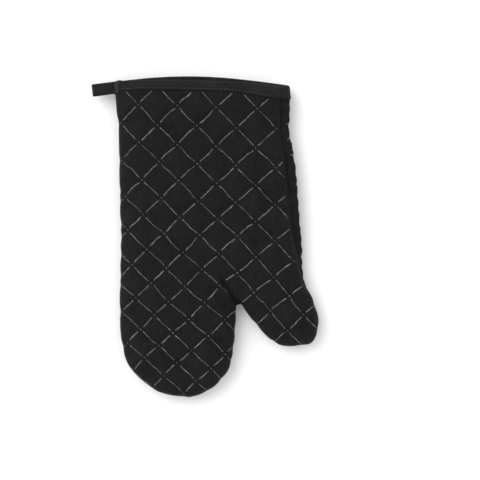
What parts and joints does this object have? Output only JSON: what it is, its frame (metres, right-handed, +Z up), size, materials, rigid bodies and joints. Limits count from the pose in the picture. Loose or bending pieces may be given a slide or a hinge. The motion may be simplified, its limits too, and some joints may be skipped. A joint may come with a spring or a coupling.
{
  "type": "oven mitt",
  "caption": "Padded fabric oven mitt lying flat, with a raised diamond lattice grip print, a bound cuff and a folded tape hanging loop.",
  "frame": {"origin": "centre of the bounding box in plan, on the surface that the back panel lies on", "axes": "+Y from the fingertip to the cuff, +X towards the thumb side, +Z up through the thickness"},
  "size_m": [0.215, 0.305, 0.0265],
  "materials": {
    "shell_cotton": "matt fine cotton twill",
    "silicone": "satin raised silicone print",
    "wadding": "loose polyester batting",
    "lining_cotton": "plain woven cotton",
    "binding_tape": "twill tape",
    "loop_tape": "flat woven tape",
    "thread": "polyester sewing thread"
  },
  "bodies": {
    "hand": {"front_shell_hand": "shell_cotton", "back_shell_hand": "shell_cotton", "front_wadding_hand": "wadding", "back_wadding_hand": "wadding", "front_lining_hand": "lining_cotton", "back_lining_hand": "lining_cotton", "front_silicone_print_hand": "silicone", "back_silicone_print_hand": "silicone", "side_seam_thread_hand": "thread", "cuff_binding": "binding_tape", "binding_stitching": "thread", "loop_bartack": "thread"},
    "fingers": {"front_shell_fingers": "shell_cotton", "back_shell_fingers": "shell_cotton", "front_wadding_fingers": "wadding", "back_wadding_fingers": "wadding", "front_lining_fingers": "lining_cotton", "back_lining_fingers": "lining_cotton", "front_silicone_print_fingers": "silicone", "back_silicone_print_fingers": "silicone", "side_seam_thread_fingers": "thread"},
    "thumb": {"front_shell_thumb": "shell_cotton", "back_shell_thumb": "shell_cotton", "front_wadding_thumb": "wadding", "back_wadding_thumb": "wadding", "front_lining_thumb": "lining_cotton", "back_lining_thumb": "lining_cotton", "front_silicone_print_thumb": "silicone", "back_silicone_print_thumb": "silicone", "side_seam_thread_thumb": "thread"},
    "loop": {"hanging_loop": "loop_tape"}
  },
  "joints": [
    {"name": "fingers_curl", "type": "hinge", "parent": "hand", "child": "fingers", "pos_m": [-0.02625, -0.06405, 0.0266], "axis": [-0.9995, 0.0314, 0], "range_deg": [0, 60]},
    {"name": "thumb_curl", "type": "hinge", "parent": "hand", "child": "thumb", "pos_m": [0.06225, -0.0445, 0.0266], "axis": [-0.8141, -0.5807, 0], "range_deg": [0, 45]},
    {"name": "loop_swing", "type": "hinge", "parent": "hand", "child": "loop", "pos_m": [-0.0879, 0.1413, 0.013], "axis": [-0.1219, 0.9925, 0], "range_deg": [-20, 105]}
  ]
}
